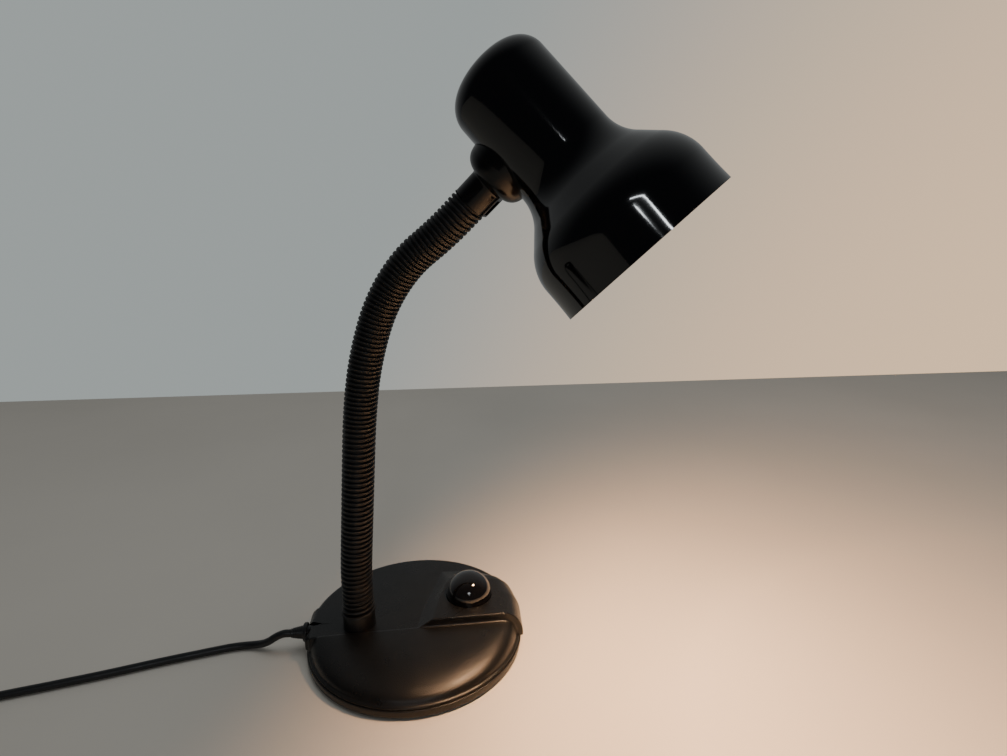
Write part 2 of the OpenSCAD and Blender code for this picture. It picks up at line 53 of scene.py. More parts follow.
# Sizes are in millimetres until place() puts a piece in the lamp's frame, in metres.


def clear():
    if bpy.context.object and bpy.context.object.mode == "EDIT":
        bpy.ops.object.mode_set(mode="OBJECT")
    bpy.ops.object.select_all(action="DESELECT")


def named(name):
    piece = bpy.context.object
    piece.name = name
    piece.data.name = name
    return piece


def only(piece):
    clear()
    piece.select_set(True)
    bpy.context.view_layer.objects.active = piece


def edit(piece):
    only(piece)
    bpy.ops.object.mode_set(mode="EDIT")
    bpy.ops.mesh.select_all(action="SELECT")


def done():
    bpy.ops.object.mode_set(mode="OBJECT")


# Selects the faces whose centre passes the test, and leaves edit mode on.
def pickFaces(piece, test):
    only(piece)
    bpy.ops.object.mode_set(mode="EDIT")
    bpy.ops.mesh.select_mode(type="FACE")
    bpy.ops.mesh.select_all(action="DESELECT")
    bpy.ops.object.mode_set(mode="OBJECT")
    for face in piece.data.polygons:
        face.select = test(face.center, face.normal)
    bpy.ops.object.mode_set(mode="EDIT")


def applied(piece, kind, **settings):
    only(piece)
    modifier = piece.modifiers.new(kind, kind)
    for key, value in settings.items():
        setattr(modifier, key, value)
    bpy.ops.object.modifier_apply(modifier=modifier.name)
    return piece


# A round form: rings are pulled up from the first one, and each is scaled to its radius.
def turned(name, line, sides=96):
    clear()
    onAxis = line[0][0] == 0
    radius, height = line[1] if onAxis else line[0]
    bpy.ops.mesh.primitive_circle_add(
        vertices=sides, radius=radius, fill_type="TRIFAN" if onAxis else "NOTHING",
    )
    piece = named(name)
    shift(piece, 0, 0, height)
    if onAxis:
        middle = min(piece.data.vertices, key=lambda v: v.co.xy.length)
        middle.co.z = line[0][1]
    bpy.ops.object.mode_set(mode="EDIT")
    bpy.ops.mesh.select_mode(type="EDGE")
    bpy.ops.mesh.select_all(action="DESELECT")
    bpy.ops.object.mode_set(mode="OBJECT")
    for edge in piece.data.edges:
        edge.select = all(piece.data.vertices[i].co.xy.length > radius * 0.99 for i in edge.vertices)
    bpy.ops.object.mode_set(mode="EDIT")
    for nextRadius, nextHeight in line[2 if onAxis else 1:]:
        bpy.ops.mesh.extrude_region_move(
            TRANSFORM_OT_translate={"value": (0, 0, nextHeight - height)}
        )
        if nextRadius == 0:
            bpy.ops.mesh.merge(type="CENTER")
            break
        if nextRadius != radius:
            grow = nextRadius / radius
            bpy.ops.transform.resize(value=(grow, grow, 1), center_override=(0, 0, nextHeight))
        radius, height = nextRadius, nextHeight
    bpy.ops.mesh.select_all(action="SELECT")
    bpy.ops.mesh.remove_doubles(threshold=0.001)
    bpy.ops.mesh.normals_make_consistent(inside=False)
    done()
    return piece


# A row of edges through the points, for a screw.
def chain(name, points):
    clear()
    bpy.ops.mesh.primitive_plane_add(size=1)
    piece = named(name)
    bpy.ops.object.mode_set(mode="EDIT")
    bpy.ops.mesh.select_mode(type="VERT")
    bpy.ops.mesh.select_all(action="SELECT")
    bpy.ops.mesh.merge(type="CENTER")
    bpy.ops.transform.translate(value=points[0])
    for here, there in zip(points, points[1:]):
        bpy.ops.mesh.extrude_vertices_move(
            TRANSFORM_OT_translate={"value": [b - a for a, b in zip(here, there)]}
        )
    done()
    return piece


def block(name, low, high, rounded=0):
    clear()
    bpy.ops.mesh.primitive_cube_add(
        size=1, location=[(a + b) / 2 for a, b in zip(low, high)],
        scale=[b - a for a, b in zip(low, high)],
    )
    piece = named(name)
    bpy.ops.object.transform_apply()
    if rounded:
        applied(piece, "BEVEL", width=rounded, segments=3)
    return piece


def arc(middle, radius, start, end, steps):
    return [
        (
            middle[0] + radius * math.cos(math.radians(start + (end - start) * i / steps)),
            middle[1] + radius * math.sin(math.radians(start + (end - start) * i / steps)),
        )
        for i in range(steps + 1)
    ]


def joined(name, pieces):
    clear()
    for piece in pieces:
        piece.select_set(True)
    bpy.context.view_layer.objects.active = pieces[0]
    bpy.ops.object.join()
    return named(name)


def cut(piece, tool, how="DIFFERENCE"):
    applied(piece, "BOOLEAN", operation=how, object=tool, solver="EXACT")
    bpy.data.objects.remove(tool, do_unlink=True)
    return piece


def bar(name, radius, start, length, sides=64):
    clear()
    bpy.ops.mesh.primitive_cylinder_add(
        vertices=sides, radius=radius, depth=length, location=(0, 0, start + length / 2)
    )
    piece = named(name)
    bpy.ops.object.transform_apply()
    return piece


def shift(piece, x=0, y=0, z=0):
    piece.data.transform(Matrix.Translation((x, y, z)))
    return piece


def turn(piece, degrees, axis):
    piece.data.transform(Matrix.Rotation(math.radians(degrees), 4, axis))
    return piece


def smooth(piece, angle=35):
    only(piece)
    bpy.ops.object.shade_smooth_by_angle(angle=math.radians(angle))
    return piece


toMetres = Matrix.Scale(0.001, 4)


def place(piece, where=Matrix()):
    piece.data.transform(toMetres @ where)
    piece.data.update()
    return piece


camera = {
    "place": (0.0152, -0.3676, 0.2793),  # metres
    "dip": 12.86,  # degrees below level
    "turn": 8.10,  # degrees to the right
    "roll": 0.20,
    "lens": 20.18,  # mm, on a 36 mm sensor
    "shift": (-0.006, -0.002),
}


def makeCamera():
    clear()
    bpy.ops.object.camera_add(
        location=camera["place"],
        rotation=[math.radians(a) for a in (90 - camera["dip"], -camera["roll"], -camera["turn"])],
    )
    view = bpy.context.object
    view.name = "camera"
    view.data.lens = camera["lens"]
    view.data.sensor_width = 36
    view.data.shift_x, view.data.shift_y = camera["shift"]
    view.data.clip_start = 0.01
    bpy.context.scene.camera = view


makeCamera()
print("camera")

finishes = {}


# One finish: mottle varies the colour, smear the roughness, grain the surface, and the last argument scales
# the colour by the ribs' height: lighter rib tops as wear, darker grooves as painted shade.
# Each of the first three is (scale, low, high) or (scale, strength, depth), and may end with a stretch.
def finish(name, colour, rough, metal=0.0, mottle=None, grain=None, smear=None, wearAndGrooveShade=None, **sockets):
    skin = bpy.data.materials.new(name)
    skin.use_nodes = True
    nodes, links = skin.node_tree.nodes, skin.node_tree.links
    shader = nodes["Principled BSDF"]
    shader.inputs["Base Color"].default_value = (*colour, 1)
    shader.inputs["Roughness"].default_value = rough
    shader.inputs["Metallic"].default_value = metal
    for key, value in sockets.items():
        shader.inputs[key.replace("_", " ")].default_value = value
    where = nodes.new("ShaderNodeTexCoord").outputs["Object"]

    def noise(detail, scale, stretch=None):
        source = where
        if stretch:
            mapping = nodes.new("ShaderNodeMapping")
            mapping.inputs["Scale"].default_value = stretch
            links.new(where, mapping.inputs["Vector"])
            source = mapping.outputs["Vector"]
        texture = nodes.new("ShaderNodeTexNoise")
        texture.inputs["Scale"].default_value = scale
        texture.inputs["Detail"].default_value = detail
        links.new(source, texture.inputs["Vector"])
        return texture.outputs["Fac"]

    if mottle:
        scale, low, high = mottle[:3]
        ramp = nodes.new("ShaderNodeValToRGB")
        ramp.color_ramp.elements[0].position = 0.35
        ramp.color_ramp.elements[1].position = 0.65
        ramp.color_ramp.elements[0].color = (*[c * low for c in colour], 1)
        ramp.color_ramp.elements[1].color = (*[min(c * high, 1) for c in colour], 1)
        links.new(noise(5, scale, *mottle[3:]), ramp.inputs["Fac"])
        links.new(ramp.outputs["Color"], shader.inputs["Base Color"])
        # Rib tops are lightened as wear and the grooves are darkened as painted shade.
        if wearAndGrooveShade:
            mark = nodes.new("ShaderNodeAttribute")
            mark.attribute_name = wearAndGrooveShade[0]
            amount = nodes.new("ShaderNodeMapRange")
            amount.inputs["To Min"].default_value = wearAndGrooveShade[1]
            amount.inputs["To Max"].default_value = wearAndGrooveShade[2]
            links.new(mark.outputs["Fac"], amount.inputs["Value"])
            tint = nodes.new("ShaderNodeVectorMath")
            tint.operation = "SCALE"
            links.new(ramp.outputs["Color"], tint.inputs["Vector"])
            links.new(amount.outputs["Result"], tint.inputs["Scale"])
            links.new(tint.outputs["Vector"], shader.inputs["Base Color"])
    if smear:
        scale, low, high = smear[:3]
        spread = nodes.new("ShaderNodeMapRange")
        spread.inputs["From Min"].default_value = 0.35
        spread.inputs["From Max"].default_value = 0.65
        spread.inputs["To Min"].default_value = low
        spread.inputs["To Max"].default_value = high
        links.new(noise(3, scale, *smear[3:]), spread.inputs["Value"])
        links.new(spread.outputs["Result"], shader.inputs["Roughness"])
    if grain:
        scale, strength, depth = grain[:3]
        bump = nodes.new("ShaderNodeBump")
        bump.inputs["Strength"].default_value = strength
        bump.inputs["Distance"].default_value = depth
        links.new(noise(2, scale, *grain[3:]), bump.inputs["Height"])
        links.new(bump.outputs["Normal"], shader.inputs["Normal"])
    finishes[name] = skin


def paint(piece, *names):
    piece.data.materials.clear()
    for name in names:
        piece.data.materials.append(finishes[name])
    return piece


finish("mouldedBlack", (0.0072, 0.0073, 0.0074), 0.3, mottle=(60, 0.85, 1.15), smear=(45, 0.26, 0.34),
       grain=(1900, 0.5, 0.0003), Specular_IOR_Level=0.38)
finish("buttonGloss", (0.004, 0.004, 0.0045), 0.06, smear=(40, 0.04, 0.09), grain=(90, 0.02, 0.0004),
       Coat_Weight=0.6, Coat_Roughness=0.03)
finish("ferrulePlastic", (0.006, 0.0062, 0.0064), 0.4, smear=(120, 0.34, 0.46), grain=(1500, 0.15, 0.0002))
# The rib rubber is 0.55 as bright in its grooves, which is painted shade, and 1.25 as bright on its tops,
# which is wear.
finish("ribRubber", (0.0085, 0.0087, 0.009), 0.46, mottle=(220, 0.8, 1.3), smear=(160, 0.4, 0.54),
       grain=(1800, 0.15, 0.0002), wearAndGrooveShade=("ribTop", 0.55, 1.25))
finish("collarGloss", (0.003, 0.003, 0.0033), 0.2, smear=(90, 0.16, 0.26), grain=(700, 0.05, 0.0002),
       Specular_IOR_Level=0.4)
finish("shadeBlack", (0.0012, 0.0012, 0.0018), 0.07, smear=(22, 0.05, 0.1), grain=(60, 0.01, 0.0006),
       Coat_Weight=0.35, Coat_Roughness=0.025)
finish("shadeInside", (0.75, 0.73, 0.68), 0.42, smear=(30, 0.38, 0.48), grain=(350, 0.04, 0.0004))
finish("cordPlastic", (0.011, 0.011, 0.0115), 0.42, smear=(140, 0.36, 0.5), grain=(900, 0.1, 0.0003))
finish("plugPlastic", (0.012, 0.012, 0.0125), 0.38, smear=(110, 0.33, 0.45), grain=(1400, 0.12, 0.0003))
finish("brassBright", (0.62, 0.44, 0.19), 0.28, 1.0, mottle=(130, 0.85, 1.1), smear=(200, 0.2, 0.36))
finish("zincSteel", (0.5, 0.5, 0.48), 0.36, 1.0, mottle=(240, 0.8, 1.1), smear=(300, 0.28, 0.45))
finish("springWire", (0.5, 0.5, 0.5), 0.25, 1.0, smear=(500, 0.2, 0.34))
finish("castIron", (0.14, 0.135, 0.13), 0.6, 0.7, mottle=(180, 0.7, 1.2), grain=(900, 0.4, 0.0006))
finish("coreSteel", (0.36, 0.36, 0.35), 0.4, 1.0, smear=(400, 0.3, 0.5, (1, 1, 12)))
finish("foamBlack", (0.014, 0.014, 0.014), 0.9, mottle=(900, 0.6, 1.4), grain=(1300, 0.8, 0.0008))
finish("switchPlastic", (0.02, 0.02, 0.02), 0.5, grain=(1500, 0.15, 0.0003), smear=(90, 0.44, 0.56))
finish("plungerPlastic", (0.72, 0.7, 0.64), 0.42, mottle=(200, 0.94, 1.0), smear=(90, 0.36, 0.48))
finish("holderPlastic", (0.74, 0.71, 0.63), 0.38, mottle=(70, 0.92, 1.02), smear=(60, 0.32, 0.45),
       grain=(900, 0.06, 0.0003))
finish("bulbMetal", (0.62, 0.61, 0.58), 0.3, 1.0, mottle=(300, 0.85, 1.05), smear=(260, 0.22, 0.4))
finish("bulbFrosted", (0.95, 0.9, 0.8), 0.32, mottle=(40, 0.97, 1.0), grain=(500, 0.04, 0.0003),
       Emission_Color=(1.0, 0.66, 0.38, 1), Emission_Strength=3.5)

nodeFinishes = {
    "ballast": "castIron",
    "foam_pad": "foamBlack",
    "base_screws": "zincSteel",
    "switch_body": "switchPlastic",
    "switch_plunger": "plungerPlastic",
    "neck_washer": "zincSteel",
    "neck_nut": "zincSteel",
    "plug_blades": "brassBright",
    "nipple": "brassBright",
    "nipple_washer": "zincSteel",
    "nipple_nut": "zincSteel",
    "holder_bracket": "zincSteel",
    "lampholder": "holderPlastic",
    "lamp_shell": "brassBright",
    "centre_contact": "brassBright",
    "bulb_base": "bulbMetal",
}
for i in range(1, 12):
    nodeFinishes[f"neck_core_{i}"] = "coreSteel"
for nodeName, finishName in nodeFinishes.items():
    paint(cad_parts[nodeName], finishName)
print("finishes")

# Where things are.

base = {
    "radius": 76, "trayTop": 6.4, "flangeTop": 8.2, "footRadius": 73.3, "deckRadius": 74.6, "deck": 19.2,
    "dome": 20.3, "domeEdge": 17.7, "cornerIn": 8, "pod": 26.2, "podRamp": 11, "lobeX": 77.5, "pad": 1,
    "bossX": -77.5, "bossFrom": -14, "bossTo": 17, "leadY": -2, "leadZ": 13.5, "leadHole": 4.2,
    "neckHole": 5.1, "notch": 5, "notchDepth": 13, "coverSheet": 2.0, "voxel": 0.6,
    "screwRadius": 64.5, "screws": 4, "stud": 5.2, "screwHead": 3.6, "screwHole": 1.9,
}
button = {
    "x": 39, "y": 8.5, "radius": 16.5, "gap": 0.4, "wall": 1.6, "low": 22.3, "middle": 26.8,
    "springLow": 18, "springTop": 33, "springRadius": 4, "springWire": 0.5, "springTurns": 6,
}
neck = {
    "x": -39.5, "y": -5.5, "turn": 21.9, "length": 299.8, "links": 11, "ribRadius": 10.6,
    "grooveRadius": 9.1, "boreRadius": 8.5, "lowRibs": 8, "highRibs": 9, "lowLinks": 5, "ferrule": 10.7,
    "headLean": 46.7, "sides": 44, "footSwell": 1.3,
    "lean": [(0, 0), (24, 0.2), (40, 4.6), (128, 4.9), (160, 9), (205, 20.6), (245, 41.6), (262, 53.5),
             (278, 50), (290, 46.7), (400, 46.7)],
    "ribLine": [(0, 9.1), (0.2, 9.1), (0.235, 9.2), (0.255, 9.5), (0.272, 10.1), (0.3, 10.45),
                (0.36, 10.6), (0.64, 10.6), (0.7, 10.45), (0.728, 10.1), (0.745, 9.5), (0.765, 9.2),
                (0.8, 9.1), (1, 9.1)],
}
shade = {
    "rim": 53.4, "length": 129.4, "cap": 29.8, "shoulder": 29, "throat": 26, "crown": 13, "sheet": 0.8,
    "wallHeight": 19.5, "rosetteHeight": 86.2, "rosette": 19.4, "collar": 15, "collarRadius": 10.3,
    "socket": 8.4, "nipple": 5.1, "nippleHole": 5.3, "bead": 0.75, "standOff": 23.7,
}
bulb = {"ball": 28, "middle": 36, "throat": 13, "top": 79, "meets": 42}
neckFoot = base["deck"] + neck["ferrule"]
linkLength = neck["length"] / neck["links"]


def leanAt(s):
    pairs = neck["lean"]
    for (s0, a0), (s1, a1) in zip(pairs, pairs[1:]):
        if s <= s1:
            return math.radians(a0 + (a1 - a0) * max(s - s0, 0) / (s1 - s0))
    return math.radians(neck["headLean"])


neckPath = [(0.0, 0.0)]
for i in range(math.ceil(neck["length"]) + 2):
    lean = leanAt(i + 0.5)
    neckPath.append((neckPath[-1][0] + math.sin(lean), neckPath[-1][1] + math.cos(lean)))


def onNeck(s):
    if s <= 0:
        return (0.0, s)
    i = min(int(s), math.ceil(neck["length"]))
    (u0, v0), (u1, v1) = neckPath[i], neckPath[i + 1]
    return (u0 + (u1 - u0) * (s - i), v0 + (v1 - v0) * (s - i))


reach = shade["cap"] + shade["standOff"]
headLean = math.radians(neck["headLean"])
neckEnd = onNeck(neck["length"])
atNeck = (
    Matrix.Translation((neck["x"], neck["y"], neckFoot))
    @ Matrix.Rotation(math.radians(-neck["turn"]), 4, "Z")
)
atRosette = (
    atNeck
    @ Matrix.Translation((
        neckEnd[0] + reach * math.sin(headLean), 0, neckEnd[1] + reach * math.cos(headLean),
    ))
    @ Matrix.Rotation(headLean - math.pi / 2, 4, "Y")
)
atHead = atRosette @ Matrix.Translation((0, 0, -shade["rosetteHeight"]))

cord = {
    "diameter": 5.2,
    "start": [
        (-87.5, -2, 13.5), (-92.7, -2, 13.5), (-98, -2, 11.4), (-102.7, -1, 8),
        (-108, 0.9, 5), (-114, 2.8, 3.3), (-121, 3.6, 2.7), (-130, 3, 2.7), (-140, 1.2, 2.7),
        (-152, -1.2, 2.7), (-164, -3.6, 2.7), (-176, -6.2, 2.7), (-188, -9, 2.7),
        (-200, -11.8, 2.7), (-212, -14.4, 2.7), (-224, -16.8, 2.7), (-236, -19.2, 2.7),
        (-248, -21.4, 2.7), (-260, -23.6, 2.7), (-272, -25.2, 2.7), (-280, -25.8, 2.7),
    ],
    "tail": [
        (-280, -114.4, 7.9), (-272, -114.8, 7), (-264, -115.6, 6.1), (-256, -116.46, 5.6),
        (-248, -117.3, 5.6),
    ],
    "centre": (-298, -70), "middleRadius": 19.35, "pitch": 5.8, "turns": 4.25, "low": 2.7,
    "startAngle": 90, "steps": 24,
}


def coilPoint(t):
    radius = cord["middleRadius"] + cord["pitch"] * abs(t)
    angle = math.radians(cord["startAngle"] + 360 * (t + cord["turns"]))
    f = min(max(t * 2 + 0.5, 0), 1)
    return Vector((
        cord["centre"][0] + radius * math.cos(angle),
        cord["centre"][1] + radius * math.sin(angle),
        cord["low"] + cord["pitch"] * f * f * (3 - 2 * f),
    ))


def cordRoute():
    count = int(2 * cord["turns"] * cord["steps"])
    coil = [coilPoint(i / cord["steps"] - cord["turns"]) for i in range(count + 1)]
    wayIn = (coil[0] - coil[1]).normalized() * cord["diameter"]
    wayOut = (coil[-1] - coil[-2]).normalized() * cord["diameter"]
    return (
        [Vector(p) for p in cord["start"]] + [coil[0] + 2 * wayIn, coil[0] + wayIn] + coil
        + [coil[-1] + wayOut, coil[-1] + 2 * wayOut] + [Vector(p) for p in cord["tail"]]
    )


def makeCord():
    clear()
    route = cordRoute()
    bpy.ops.curve.primitive_bezier_curve_add()
    piece = named("lead")
    line = piece.data.splines[0]
    line.bezier_points.add(len(route) - 2)
    for knot, point in zip(line.bezier_points, route):
        knot.co = point * 0.001
        knot.handle_left_type = knot.handle_right_type = "AUTO"
    piece.data.dimensions = "3D"
    piece.data.resolution_u = 4
    piece.data.bevel_depth = cord["diameter"] / 2000
    piece.data.bevel_resolution = 4
    piece.data.use_fill_caps = True
    length = sum((b - a).length for a, b in zip(route, route[1:])) * 0.001
    print("lead", round(length, 3), "m")
    return piece, route, length


lead, leadRoute, leadLength = makeCord()
paint(lead, "cordPlastic")
print("cord")

plug = {
    "place": (-248, -117.3, 5.6), "turn": -6, "width": 22, "height": 11, "length": 18, "start": 14,
    "neck": ((1.8, 0.82), (2.0, 0.72), (2.6, 0.88), (3.6, 0.92)),  # each step's length and its narrowing
    "ridges": (17.5, 20.3, 23.1, 25.9), "ridge": (1.1, 9, 1.0),
}
relief = {
    "x": -76.0, "flange": [(6.0, 0.2), (6.4, -0.2), (6.4, -1.9), (6.0, -2.4), (4.9, -2.4)],
    "shank": 4.1, "ribs": 4.55, "pitch": 1.3, "from": -2.4, "to": -10, "groove": 0.45, "taper": 0.22,
}


def makePlug():
    clear()
    bpy.ops.mesh.primitive_cube_add(size=1)
    piece = named("plugBody")
    piece.data.transform(Matrix.Diagonal((plug["length"], plug["width"], plug["height"], 1)))
    shift(piece, plug["start"] + plug["length"] / 2)
    pickFaces(piece, lambda centre, normal: normal.x < -0.9)
    for out, grow in plug["neck"]:
        bpy.ops.mesh.extrude_region_move(TRANSFORM_OT_translate={"value": (-out, 0, 0)})
        bpy.ops.transform.resize(value=(1, grow, grow ** 0.5), center_override=(0, 0, 0))
    done()
    applied(piece, "BEVEL", width=1.4, segments=3, limit_method="ANGLE", angle_limit=math.radians(40))
    applied(piece, "SUBSURF", levels=2, render_levels=2)
    ridges = []
    for side in (-1, 1):
        for x in plug["ridges"]:
            clear()
            bpy.ops.mesh.primitive_cube_add(size=1)
            ridge = named("ridge")
            ridge.data.transform(Matrix.Diagonal((*plug["ridge"], 1)))
            shift(ridge, x, 0, side * (plug["height"] / 2 - 0.35))
            applied(ridge, "BEVEL", width=0.35, segments=2)
            ridges.append(ridge)
    piece = joined("plugBody", [piece] + ridges)
    return smooth(piece, 50)


def makeStrainRelief():
    shank, pitch, groove = relief["shank"], relief["pitch"], relief["groove"]
    line = [(0, 12), (shank, 12), (shank, 0.2)] + relief["flange"]
    x, radius = relief["from"], relief["ribs"]
    while x > relief["to"]:
        line += [(radius, x - 0.15), (radius, x - 0.85)]
        line += [(radius - groove, x - 1.0), (radius - groove, x - pitch)]
        x -= pitch
        radius -= relief["taper"]
    line += [(3.1, -11.0), (2.75, -11.1), (0, -11.1)]
    piece = turned("strainRelief", line, 48)
    turn(piece, 90, "Y")
    return smooth(piece, 40)


plugBody = makePlug()
place(plugBody, Matrix.Translation(plug["place"]) @ Matrix.Rotation(math.radians(plug["turn"]), 4, "Z"))
paint(plugBody, "plugPlastic")
strainRelief = makeStrainRelief()
place(strainRelief, Matrix.Translation((relief["x"], base["leadY"], base["leadZ"])))
paint(strainRelief, "plugPlastic")
print("plug and strain relief")


def makeDome():
    across, up = 120, 40
    clear()
    bpy.ops.mesh.primitive_grid_add(x_subdivisions=across, y_subdivisions=up, size=2)
    piece = named("dome")
    half = math.sqrt(base["footRadius"] ** 2 - base["domeEdge"] ** 2)
    rise = base["dome"] - base["flangeTop"]
    for v in piece.data.vertices:
        a = math.radians(90 * (v.co.y + 1) / 2)
        x = -half * math.cos(math.radians(90 * (v.co.x + 1)))
        y = math.sqrt(max(base["footRadius"] ** 2 - x * x, 0)) - base["domeEdge"]
        inward = base["cornerIn"] * (1 - math.cos(a))
        v.co = (
            x * (half - inward) / half,
            -base["domeEdge"] + 1 - (y + 1) * math.cos(a),
            base["flangeTop"] + rise * math.sin(a),
        )
    edit(piece)
    bpy.ops.mesh.select_mode(type="EDGE")
    bpy.ops.mesh.select_all(action="SELECT")
    bpy.ops.mesh.remove_doubles(threshold=0.02)
    bpy.ops.mesh.region_to_loop()
    bpy.ops.mesh.extrude_edges_move(TRANSFORM_OT_translate={"value": (0, 0, -1)})
    bpy.ops.transform.resize(value=(1, 1, 0), center_override=(0, 0, base["trayTop"] + 0.4))
    bpy.ops.mesh.edge_face_add()
    bpy.ops.mesh.select_all(action="SELECT")
    bpy.ops.mesh.normals_make_consistent(inside=False)
    done()
    return piece


def podLine(top, start, end):
    edgeZ = base["flangeTop"]
    return (
        [(start, base["deck"] - 3), (start, base["deck"]), (start + base["podRamp"], top)]
        + [
            (end - 16 + 16 * math.sin(math.radians(a)), edgeZ + (top - edgeZ) * math.cos(math.radians(a)))
            for a in range(0, 91, 6)
        ]
        + [(end, base["trayTop"] + 0.4), (base["radius"] - 14, base["trayTop"] + 0.4)]
    )


def hullOf(name, slices):
    clear()
    bpy.ops.mesh.primitive_plane_add()
    piece = named(name)
    piece.data.clear_geometry()
    points = [(x, y, z) for y, line in slices for x, z in line]
    piece.data.from_pydata(points, [], [])
    edit(piece)
    bpy.ops.mesh.convex_hull()
    done()
    return piece


def makeCover():
    deck, deckRadius, edge = base["deck"], base["deckRadius"], base["domeEdge"]
    flange = turned("flange", [
        (0, 6.4), (74.9, 6.4), (75.2, 6.7), (75.2, 7.5), (74.9, 7.9), (74.4, 8.15), (73.6, 8.2), (0, 8.2),
    ], 192)
    deckPlate = turned("deckPlate", [(0, 6.9), (deckRadius, 6.9), (deckRadius, deck - 3)]
                       + arc((deckRadius - 3, deck - 3), 3, 10, 90, 8) + [(0, deck)], 192)
    edit(deckPlate)
    bpy.ops.mesh.bisect(plane_co=(0, -edge + 0.5, 0), plane_no=(0, -1, 0), clear_outer=True, use_fill=True)
    done()
    lobe, pod = base["lobeX"], base["pod"]
    podFront = hullOf("podFront", [
        (-edge + 0.1, podLine(pod, 0.7, lobe - 1.5)), (8, podLine(pod, 6, lobe)),
        (26, podLine(pod, 12, lobe - 3)),
    ])
    podBack = hullOf("podBack", [
        (25.8, podLine(pod, 12, lobe - 3)), (32, podLine(pod - 0.6, 14, lobe - 6.5)),
        (52, podLine(deck - 0.5, 20, lobe - 24)),
    ])
    out, inside = base["bossX"] + 1.5, base["bossX"] + 20
    corner = [(out, 6.8), (out, 15.8), (inside, 15.8), (inside, 6.8)]
    boss = hullOf("boss", [
        (base["bossFrom"], corner), (base["bossFrom"] + 2, [(out + 3.5, deck), (inside, deck)]),
        (base["bossTo"], corner + [(out + 3.5, deck), (inside, deck)]),
    ])
    applied(boss, "BEVEL", width=1.4, segments=4, limit_method="ANGLE", angle_limit=math.radians(25))
    cover = joined("baseCover", [flange, deckPlate, makeDome(), podFront, podBack, boss])
    applied(cover, "REMESH", mode="VOXEL", voxel_size=base["voxel"])
    applied(cover, "SMOOTH", factor=0.5, iterations=3)
    out, leadY, leadZ = base["bossX"] - 1, base["leadY"], base["leadZ"]
    half, deep = base["notch"], base["notchDepth"]
    cut(cover, hullOf("notch", [
        (leadY - half, [(out, leadZ), (out, 34)]), (leadY, [(out + deep, leadZ), (out + deep, 34)]),
        (leadY + half, [(out, leadZ), (out, 34)]),
    ]))
    cut(cover, shift(bar("hole", button["radius"] + button["gap"], 0, 40, 96), button["x"], button["y"]))
    cut(cover, shift(turn(bar("hole", base["leadHole"], -30, 30), 90, "Y"), -60, leadY, leadZ))
    cut(cover, shift(bar("hole", base["neckHole"], 0, 40), neck["x"], neck["y"]))
    edit(cover)
    bpy.ops.mesh.bisect(plane_co=(0, 0, 6.7), plane_no=(0, 0, -1), clear_outer=True)
    done()
    reachOut = button["radius"] + 0.7
    pickFaces(cover, lambda centre, normal: centre.z < 23.7 and math.hypot(
        centre.x - button["x"], centre.y - button["y"]) < reachOut)
    bpy.ops.mesh.delete(type="FACE")
    done()
    applied(cover, "DECIMATE", ratio=0.5)
    applied(cover, "SOLIDIFY", thickness=base["coverSheet"], offset=-1)
    return smooth(cover, 50)


baseCover = place(makeCover())
paint(baseCover, "mouldedBlack")
print("base cover", len(baseCover.data.polygons))


def makeTray():
    radius, low, top = base["radius"], base["pad"], base["trayTop"]
    line = [(0, low), (radius - 1.6, low)] + arc((radius - 1.6, low + 1.6), 1.6, -72, 0, 5)
    line += arc((radius - 0.5, top - 0.5), 0.5, 0, 90, 3)
    line += [(radius - 2.2, top), (radius - 2.4, top - 0.2), (radius - 2.4, low + 2), (0, low + 2)]
    tray = turned("baseTray", line, 192)
    for i in range(base["screws"]):
        angle = math.radians(45 + 360 / base["screws"] * i)
        x, y = base["screwRadius"] * math.cos(angle), base["screwRadius"] * math.sin(angle)
        cut(tray, shift(bar("stud", base["stud"], low + 0.5, top - low - 0.5), x, y), "UNION")
        cut(tray, shift(bar("hole", base["screwHead"], -1, low + 3.6), x, y))
        cut(tray, shift(bar("hole", base["screwHole"], -1, 20), x, y))
    return smooth(tray, 40)


def makeButton():
    radius, low, middle, top = button["radius"], button["low"], button["middle"], button["springTop"]
    inner = radius - button["wall"]
    line = [(0, middle + radius)] + arc((0, middle), radius, 87, 0, 29)
    line += [(radius, low + 1.8), (radius + 0.3, low + 1.35), (radius + 0.8, low + 1.2)]
    line += [(radius + 1.5, low + 1.2), (radius + 1.6, low + 1.1), (radius + 1.6, low)]
    line += [(inner, low)] + arc((0, middle), inner, 0, 69, 12)
    line += [(5.2, top + 0.2), (5.0, top), (0, top)]
    return smooth(shift(turned("pushButton", line, 128), button["x"], button["y"]), 40)


def makeSpring():
    clear()
    wire, turns = button["springWire"], button["springTurns"]
    low, top = button["springLow"] + wire, button["springTop"] - wire
    bpy.ops.mesh.primitive_circle_add(
        vertices=10, radius=wire, location=(button["springRadius"], 0, low), rotation=(math.pi / 2, 0, 0),
    )
    piece = named("buttonSpring")
    bpy.ops.object.transform_apply()
    applied(piece, "SCREW", screw_offset=(top - low) / turns, iterations=turns, steps=32, render_steps=32)
    edit(piece)
    bpy.ops.mesh.remove_doubles(threshold=0.001)
    bpy.ops.mesh.fill_holes(sides=0)
    bpy.ops.mesh.normals_make_consistent(inside=False)
    done()
    return smooth(shift(piece, button["x"], button["y"]), 50)


baseTray = paint(place(makeTray()), "mouldedBlack")
pushButton = paint(place(makeButton()), "buttonGloss")
buttonSpring = paint(place(makeSpring()), "springWire")
print("tray, button and spring")


def makeFerrule():
    foot, top = base["deck"], neckFoot
    line = [(3.4, 7), (4.7, 7), (5, 7.3), (5, foot), (10.9, foot), (11.1, foot + 0.2), (11.1, foot + 1.3)]
    line += [(11.0, foot + 1.7), (10.95, foot + 2), (10.9, top - 0.8), (10.7, top - 0.3), (10.3, top)]
    line += [(8.4, top), (8.4, top - 6.5), (3.4, top - 6.5), (3.4, 7)]
    return smooth(shift(turned("neckFerrule", line, 96), neck["x"], neck["y"]), 40)


